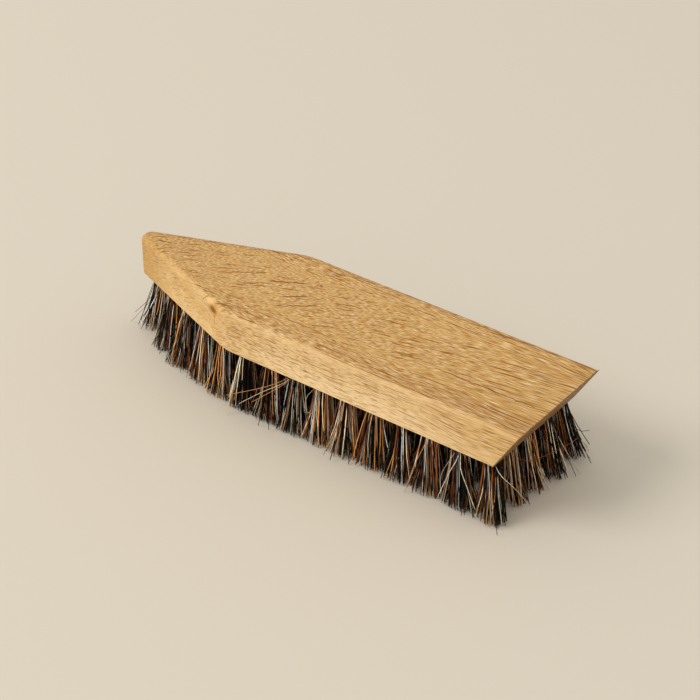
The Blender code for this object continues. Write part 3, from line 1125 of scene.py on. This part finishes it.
    def sweep(self, paths: Array, radii: Array, facing: Array) -> Array:
        """Wrap the modelled hair round each path, thinner at both ends.

        Args:
            paths: The points of each hair.
            radii: The radius of each hair.
            facing: A direction square to the plane in which the hairs are folded.

        Returns:
            The corners of each hair.
        """
        ahead = np.gradient(paths, axis=1)
        ahead /= np.linalg.norm(ahead, axis=2, keepdims=True)
        first = facing - ahead * (ahead @ facing)[..., None]
        first /= np.linalg.norm(first, axis=2, keepdims=True)
        second = np.cross(ahead, first)
        ring = np.rint(self.template_co[:, 2] * (self.rings - 1)).astype(int)
        size = radii[:, None] * np.where((ring == 0) | (ring == self.rings - 1), self.hair_end, 1.0)
        out = paths[:, ring] + first[:, ring] * (size * self.template_co[:, 0])[..., None]
        return out + second[:, ring] * (size * self.template_co[:, 1])[..., None]

    def tame(self, place: TuftPlace, tones: Array, rng: Chance) -> Array:
        """Lay the hairs that stay in their tuft, each folded over the wire.

        Args:
            place: The tuft's place.
            tones: The value that picks each hair's tone.
            rng: The source of chance.

        Returns:
            The corners of each hair.
        """
        count = self.hairs_per_tuft
        angle = np.arange(count) * GOLDEN_TURN
        spread = np.sqrt((np.arange(count) + 0.5) / count) * (self.hole_radius - self.hair_radius)
        along = spread * np.cos(angle)
        side = np.maximum(np.abs(spread * np.sin(angle)), self.wire_thickness)
        clumps = rng.uniform(-1.0, 1.0, (self.clumps, 2)) * np.array(self.tip_reach) * self.clump_reach
        legs = []
        for aside in (-side, side):
            tips = self.tips(place, along, aside, clumps, rng)
            legs.append(self.leg(place, along, aside, tips, rng))
        crown = []
        for share in self.crown_steps:
            rise = (side - self.wire_thickness / 2) * (self.crown_rise - self.crown_fall * abs(share))
            height = self.wire_top + self.hair_radius + rise
            crown.append(place.carry(np.stack([along, share * side, height], axis=1)))
        paths = np.concatenate([legs[0][:, ::-1], np.stack(crown, axis=1), legs[1]], axis=1)
        picks = np.searchsorted(HairTone.starts(), tones, "right") - 1
        widths = np.array([tone.width for tone in HairTone])[picks]
        radii = self.hair_radius * widths * rng.uniform(*self.hair_range, count)
        return self.sweep(paths, radii, np.array(place.frame)[:3, 0])

    def stray(self, place: TuftPlace, hairs: list[WildHair]) -> Array:
        """Lay the wild hairs of a tuft, each from the fold down the hole and on through its own points.

        Args:
            place: The tuft's place.
            hairs: The wild hairs.

        Returns:
            The corners of each hair.
        """
        fold = place.frame @ Vector((0.0, 0.0, self.wire_top))
        paths = []
        for hair in hairs:
            path = np.array([fold, place.mouth, *(Vector(point) * MM for point in hair.points)])
            for _ in range(self.wild_rounding):
                cuts = [share * path[:-1] + (1.0 - share) * path[1:] for share in (0.75, 0.25)]
                path = np.concatenate([path[:1], np.stack(cuts, axis=1).reshape(-1, 3), path[-1:]])
            far = np.append(0.0, np.cumsum(np.linalg.norm(np.diff(path, axis=0), axis=1)))
            steps = np.append(0.0, np.linspace(self.wire_top, far[-1], self.rings - 1))
            paths.append(np.stack([np.interp(steps, far, path[:, axis]) for axis in range(3)], axis=1))
        radii = self.wild_radius * np.array([hair.tone.width for hair in hairs])
        return self.sweep(np.array(paths), radii, np.array(place.frame)[:3, 1])

    def patches(self, count: int) -> Array:
        """Give each hair its own patch of the map that the finish may be drawn on.

        Args:
            count: How many hairs the tuft has.

        Returns:
            The place on the map of each face corner of each hair.
        """
        columns = math.ceil(math.sqrt(count))
        corner = np.stack(np.divmod(np.arange(count), columns), axis=1) + (1.0 - self.patch_fill) / 2
        return (corner[:, None] + self.template_uv[None] * self.patch_fill) / columns

    def grow(self, number: int, place: TuftPlace, wild: list[WildHair], rng: Chance) -> Piece:
        """Grow one tuft.

        Args:
            number: The tuft's number.
            place: Its place.
            wild: Its wild hairs.
            rng: The source of chance.

        Returns:
            The tuft as one mesh, with each hair's tone, shade and own patch of the UV map.
        """
        tones = rng.random(self.hairs_per_tuft)
        shades = rng.random(self.hairs_per_tuft)
        corners = self.tame(place, tones, rng)
        if wild:
            starts = dict(zip(HairTone, HairTone.starts()))
            corners = np.concatenate([corners, self.stray(place, wild)])
            tones = np.append(tones, [starts[hair.tone] + 0.01 for hair in wild])
            shades = np.append(shades, [self.wild_shade] * len(wild))
        count, per_hair = corners.shape[:2]
        faces = [tuple(index + per_hair * hair for index in face)
                 for hair in range(count) for face in self.template_faces]
        mesh = bpy.data.meshes.new(f"tuft_{number:02d}")
        mesh.from_pydata(corners.reshape(-1, 3).tolist(), [], faces)
        for name, values in (("tone", tones), ("shade", shades)):
            attribute = mesh.attributes.new(name, "FLOAT", "POINT")
            attribute.data.foreach_set("value", np.repeat(values, per_hair))
        mesh.uv_layers.new(name="OFBake").data.foreach_set("uv", self.patches(count).ravel())
        mesh.shade_smooth()
        return put(mesh.name, mesh)

    def build(self) -> list[Piece]:
        """Build every tuft and its wire.

        Returns:
            The tufts and the wires.
        """
        self.model_hair()
        material = self.finish.build()
        rng = np.random.default_rng(self.seed)
        wild = {place.node: [] for place in self.places}
        for hair in WILD_HAIRS:
            nearest = min(self.places, key=lambda place: (place.mouth - Vector(hair.points[0]) * MM).length)
            wild[nearest.node].append(hair)
        pieces = []
        for number, place in enumerate(self.places, start=1):
            tuft = self.grow(number, place, wild[place.node], rng)
            tuft.data.materials.append(material)
            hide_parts(place.node)
            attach(tuft, BODY)
            pieces.append(tuft)
        wires = copy_to_tufts(self.model_wire(), "anchor_wires", self.places)
        wires.data.materials.append(self.wire_finish.build())
        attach(wires, BODY)
        return [*pieces, wires]


def aim(thing: Piece, place: Vector, target: Vector) -> None:
    """Set a lamp or camera at a place and turn it to a target."""
    thing.location = place
    thing.rotation_euler = (place - target).to_track_quat("Z", "Y").to_euler()


@dataclass
class Studio:
    """A plain pale floor, soft light from the left and a camera at the photograph's angle."""

    floor_colour: Colour = srgb(222, 212, 194)
    room_colour: Colour = (1.0, 0.985, 0.96)
    camera_place: Point = (0.34217, -0.44679, 0.39905)
    camera_target: Point = (0.0034, 0.0016, 0.022)
    lens: float = 102.8
    sensor: float = 36.0
    key_direction: Point = (-0.5, -0.55, 0.67)
    key_power: float = 24.0
    key_size: float = 1.3
    key_distance: float = 2.4
    fill: float = 0.72

    def lay_floor(self) -> None:
        """Lay a wide floor that shows only from above."""
        deselect()
        bpy.ops.mesh.primitive_plane_add(size=8.0)
        floor = bpy.context.object
        floor.name = "floor"
        graph = MaterialGraph("pale_floor")
        graph.finish({"Base Color": self.floor_colour, "Roughness": 0.9, "Specular IOR Level": 0.1})
        below = graph.add("NewGeometry")["Backfacing"]
        graph.show("Material Output", below, graph.shader.outputs[0], graph.add("BsdfTransparent")[0])
        floor.data.materials.append(graph.material)

    def hang_lamp(self) -> None:
        """Hang the soft lamp that lights the brush from the left."""
        data = bpy.data.lights.new("soft_lamp", "AREA")
        data.shape = "DISK"
        data.size = self.key_size
        data.energy = self.key_power
        aim(put("soft_lamp", data), Vector(self.key_direction).normalized() * self.key_distance, Vector())

    def light_room(self) -> None:
        """Give the room an even pale light."""
        world = bpy.data.worlds.new("room")
        world.use_nodes = True
        graph = Graph(world.node_tree)
        background = world.node_tree.nodes["Background"]
        graph.feed(background.inputs["Color"], self.room_colour)
        graph.feed(background.inputs["Strength"], self.fill)
        seen = graph.add("Background", {"Color": self.floor_colour})[0]
        graph.show("World Output", graph.add("LightPath")["Is Camera Ray"], background.outputs[0], seen)
        bpy.context.scene.world = world

    def set_camera(self) -> None:
        """Set the camera where the photograph was taken from."""
        data = bpy.data.cameras.new("camera")
        data.sensor_width = self.sensor
        data.lens = self.lens
        camera = put("camera", data)
        aim(camera, Vector(self.camera_place), Vector(self.camera_target))
        bpy.context.scene.camera = camera

    def build(self) -> None:
        """Build the studio."""
        self.lay_floor()
        self.hang_lamp()
        self.light_room()
        self.set_camera()
        bpy.context.scene.view_settings.view_transform = "Standard"


def main() -> None:
    """Build the brush and the studio."""
    logging.basicConfig(level=logging.INFO, format="%(message)s")
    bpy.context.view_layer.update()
    Studio().build()
    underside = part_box(BACK_NODE)[0].z
    nodes = sorted(name for name in frame["nodes"] if name.startswith(TUFT_PREFIX))
    places = [TuftPlace.read(node, underside) for node in nodes]
    back = OakBack(places, OakFinish()).build()
    LOG.info("%s: %d faces", back.name, len(back.data.polygons))
    for piece in BristleField(places, BristleFinish(), WireFinish()).build():
        LOG.info("%s: %d faces", piece.name, len(piece.data.polygons))


if __name__ == "__main__":
    main()
